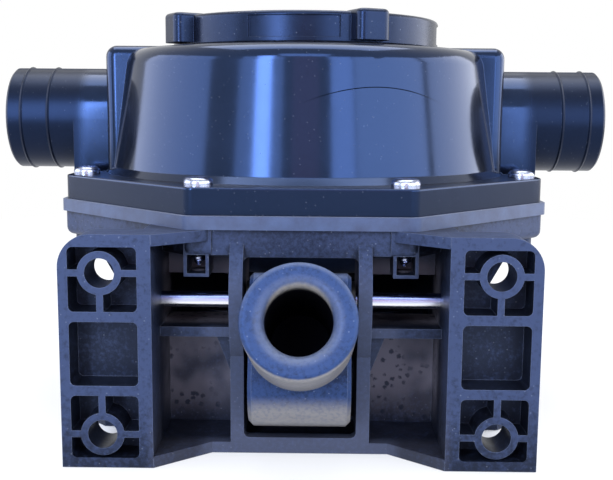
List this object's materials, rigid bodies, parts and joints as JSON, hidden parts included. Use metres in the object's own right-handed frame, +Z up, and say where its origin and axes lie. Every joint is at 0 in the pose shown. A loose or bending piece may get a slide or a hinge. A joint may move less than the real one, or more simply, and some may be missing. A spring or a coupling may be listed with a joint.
{
  "type": "manual_diaphragm_pump",
  "caption": "Black hand-operated diaphragm pump with hose tails, twist-off cover and slotted bulkhead bracket with a handle socket.",
  "frame": {"origin": "on the chamber's axis, at the underside of the bracket", "axes": "+X along the hose tails, -Y out of the mounting ears towards the user, +Z up along the chamber's axis"},
  "size_m": [0.2226, 0.2136, 0.1412],
  "materials": {
    "moulded_black": "satin glass-filled nylon",
    "gloss_black": "high gloss",
    "cover_black": "semi-gloss",
    "lever_black": "satin",
    "stainless": "bright",
    "diaphragm_rubber": "matte",
    "seal_rubber": "matte",
    "flap_rubber": "matte",
    "valve_plastic": "satin",
    "bush_plastic": "smooth",
    "plate_plastic": "satin"
  },
  "bodies": {
    "casing": {"bracket_deck": "moulded_black", "bracket_well": "moulded_black", "bracket_foot": "moulded_black", "bracket_front": "moulded_black", "bracket_bay_right": "moulded_black", "bracket_bay_left": "moulded_black", "bracket_ear_right": "moulded_black", "bracket_ear_left": "moulded_black", "pump_chamber": "gloss_black", "flange_screws": "stainless", "diaphragm": "diaphragm_rubber", "inlet_valve_seat": "valve_plastic", "outlet_valve_seat": "valve_plastic", "inlet_flap_pin": "stainless", "outlet_flap_pin": "stainless", "pivot_shaft": "stainless", "shaft_clips": "stainless"},
    "lever": {"rocker_lever": "lever_black", "lever_bush_right": "bush_plastic", "lever_bush_left": "bush_plastic"},
    "drive": {"diaphragm_top_plate": "plate_plastic", "diaphragm_bottom_plate": "plate_plastic", "centre_bolt": "stainless", "centre_washer": "stainless", "centre_nut": "stainless", "drive_pin": "stainless", "drive_pin_clips": "stainless"},
    "seal_carrier": {"cover_seal": "seal_rubber"},
    "cover": {"inspection_cover": "cover_black"},
    "inlet_flap": {"inlet_valve_flap": "flap_rubber"},
    "outlet_flap": {"outlet_valve_flap": "flap_rubber"}
  },
  "joints": [
    {"name": "lever_rock", "type": "hinge", "parent": "casing", "child": "lever", "pos_m": [0, -0.078, 0.0482], "axis": [1, 0, 0], "range_deg": [0, 32]},
    {"name": "diaphragm_slide", "type": "slide", "parent": "casing", "child": "drive", "axis": [0, 0, 1], "range_m": [0, 0.0449], "deforming": ["diaphragm"]},
    {"name": "cover_lift", "type": "slide", "parent": "casing", "child": "seal_carrier", "axis": [0, 0, 1], "range_m": [0, 0.06]},
    {"name": "cover_twist", "type": "hinge", "parent": "seal_carrier", "child": "cover", "pos_m": [0, 0, 0.1305], "axis": [0, 0, 1], "range_deg": [0, 30]},
    {"name": "inlet_flap_swing", "type": "hinge", "parent": "casing", "child": "inlet_flap", "pos_m": [-0.0671, 0, 0.1222], "axis": [0, -1, 0], "range_deg": [0, 30]},
    {"name": "outlet_flap_swing", "type": "hinge", "parent": "casing", "child": "outlet_flap", "pos_m": [0.0623, 0, 0.1222], "axis": [0, -1, 0], "range_deg": [0, 28]}
  ],
  "couplings": [
    {"joint": "diaphragm_slide", "follows": "lever_rock", "m_per_rad": 0.0801}
  ]
}
